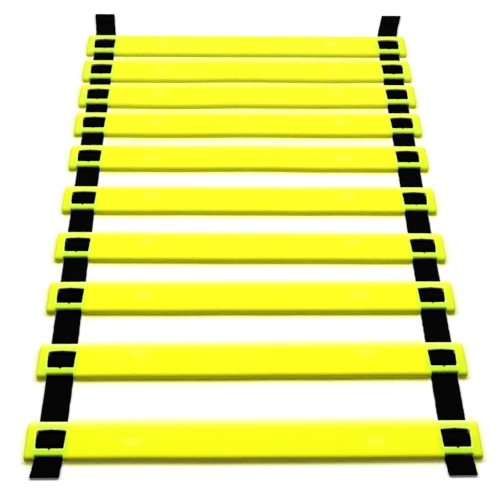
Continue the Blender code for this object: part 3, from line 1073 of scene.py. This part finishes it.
def cutPiece(whole, name, low, high):
    piece = copyOf(whole, name)
    bpy.ops.object.mode_set(mode="EDIT")
    for place, inner in ((low, True), (high, False)):
        if place is None:
            continue
        bpy.ops.mesh.select_all(action="SELECT")
        bpy.ops.mesh.bisect(plane_co=(0, place, 0), plane_no=(0, 1, 0), use_fill=True,
                            clear_inner=inner, clear_outer=not inner)
    leaveEdit()
    bpy.ops.object.shade_smooth_by_angle(angle=math.radians(strapForm["smoothAngle"]))
    return piece


def makeStraps(rungMaterial, gapMaterial):
    pieces = []
    for label, side, seed in (("left", -1, 1), ("right", 1, 2)):
        whole = makeWholeStrap(side, seed)
        node = "strap_" + label
        order = list(reversed(rungNames))         # from the near rung
        for index, name in enumerate(order):
            centre = strapPlace(name, side)
            low = None if index == 0 else centre - strapForm["joinPlace"]
            high = None if index == len(order) - 1 else centre + strapForm["joinPlace"]
            piece = cutPiece(whole, "webbing_" + label + "_" + name, low, high)
            piece.data.materials.append(rungMaterial)
            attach(piece, rungBody[name])
            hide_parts(node)
            pieces.append(piece)
            if high is None:
                continue
            following = order[index + 1]
            start, end = high, strapPlace(following, side) - strapForm["joinPlace"]
            gap = cutPiece(whole, "webbing_" + label + "_gap_" + name[-2:] + "_" + following[-2:], start, end)
            gap.data.materials.append(gapMaterial)
            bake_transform(gap)
            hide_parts(node)
            pieces.append(gap)
        bpy.data.objects.remove(whole, do_unlink=True)
    return pieces


# Black woven webbing: herringbone columns and dull fibres

webbingLook = {
    # painted shade in the weave's valleys and painted light on its crests, over the bump
    "valleyShade": (0.0003, 0.0003, 0.0004),
    "crestLight": (0.0013, 0.0013, 0.0016),
    "crestLightRange": (0.15, 1.0),
    "column": 1.55 * mm,
    "barrelPower": 0.5,
    "pick": 1.35 * mm,
    "pickDepth": 0.75,
    "height": 0.16 * mm,
    "weaveStrength": 0.8,
    "fibreScale": (5200, 900, 900),
    "fibreNoise": (1.0, 2.0, 0.6),     # scale, detail and roughness
    "fibreShare": 0.25,
    "mottleScales": (45.0, 2600.0),
    "slowTint": (0.55, 0.55, 0.6),
    "slowRange": (0.3, 0.75, 0, 0.5),
    "lint": (0.02, 0.02, 0.021),
    "lintRange": (0.68, 0.8, 0, 0.35),
    "roughness": 0.78,
    "roughSpread": 0.2,
    "specular": 0.009,
}


def makeWeaveGroup():
    look = webbingLook
    group, start, end = newGroup("webbingWeave", [("Vector", "NodeSocketVector", None)],
                                 [("Height", "NodeSocketFloat"), ("Fibre", "NodeSocketFloat")])
    across, along, _ = splitVector(group, start.outputs["Vector"])
    column = calculate(group, "DIVIDE", across, look["column"])
    inColumn = calculate(group, "FRACT", column)
    # the picks lean one way and the other in turn, at 1 and -1
    odd = calculate(group, "FRACT", calculate(group, "MULTIPLY", calculate(group, "FLOOR", column), 0.5))
    sign = calculate(group, "MULTIPLY_ADD", odd, -4.0, 1.0)
    lean = calculate(group, "MULTIPLY", calculate(group, "SUBTRACT", inColumn, 0.5), sign)
    phase = calculate(group, "ADD", calculate(group, "DIVIDE", along, look["pick"]), lean)
    pick = calculate(group, "SINE", calculate(group, "MULTIPLY", phase, 2 * math.pi))
    pick = calculate(group, "MULTIPLY_ADD", pick, 0.5, 0.5)
    pick = calculate(group, "MULTIPLY_ADD", pick, look["pickDepth"], 1 - look["pickDepth"])
    barrel = calculate(group, "SINE", calculate(group, "MULTIPLY", inColumn, math.pi))
    barrel = calculate(group, "POWER", barrel, look["barrelPower"])
    weave = calculate(group, "MULTIPLY", pick, barrel)
    thread = group.nodes.new("ShaderNodeMapping")
    thread.inputs["Scale"].default_value = look["fibreScale"]
    group.links.new(start.outputs["Vector"], thread.inputs["Vector"])
    fibre = noiseOn(group, thread.outputs["Vector"], *look["fibreNoise"])
    height = calculate(group, "MULTIPLY_ADD", fibre, look["fibreShare"], weave)
    group.links.new(height, end.inputs["Height"])
    group.links.new(fibre, end.inputs["Fibre"])
    return group


def makeWebbing(name, weaveGroup, fromUv):
    look = webbingLook
    material, tree, shader = newMaterial(name)
    place = tree.nodes.new("ShaderNodeTexCoord")
    vector = place.outputs["Object"]
    if fromUv:
        source = tree.nodes.new("ShaderNodeUVMap")
        source.uv_map = "weave"
        vector = source.outputs["UV"]
    weave = placeGroup(tree, weaveGroup, vector)
    slowScale, fineScale = look["mottleScales"]
    mottle = placeGroup(tree, mottleGroup, place.outputs["Object"], Slow_Scale=slowScale,
                        Fine_Scale=fineScale)
    # painted light and shade of the weave, from its height
    crestLight = ramp(tree, weave["Height"], *look["crestLightRange"])
    colour = mixColour(tree, crestLight, look["valleyShade"], look["crestLight"])
    slow = ramp(tree, mottle["Slow"], *look["slowRange"])
    colour = mixColour(tree, slow, colour, look["slowTint"], "MULTIPLY")
    colour = mixColour(tree, ramp(tree, mottle["Fine"], *look["lintRange"]), colour, look["lint"])
    tree.links.new(colour, shader.inputs["Base Color"])
    smoothest = look["roughness"] - look["roughSpread"] / 2
    rough = calculate(tree, "MULTIPLY_ADD", weave["Fibre"], look["roughSpread"], smoothest)
    tree.links.new(rough, shader.inputs["Roughness"])
    shader.inputs["Specular IOR Level"].default_value = look["specular"]
    addBump(tree, shader, weave["Height"], look["weaveStrength"], look["height"])
    return material


makeCamera()
makeStudio()
print("camera and studio made")

rungMaskGroup = makeRungMaskGroup()
rungs = makeRungs()
for number, name in enumerate(rungNames, 1):
    plastic = makePlastic("plastic_" + name, name, number, rungMaskGroup)
    rungs[name].data.materials.clear()
    rungs[name].data.materials.append(plastic)
print("rungs made")

weaveGroup = makeWeaveGroup()
webbingPieces = makeStraps(makeWebbing("webbingAtRungs", weaveGroup, True),
                           makeWebbing("webbingInGaps", weaveGroup, False))
print("webbing made:", len(webbingPieces), "pieces")
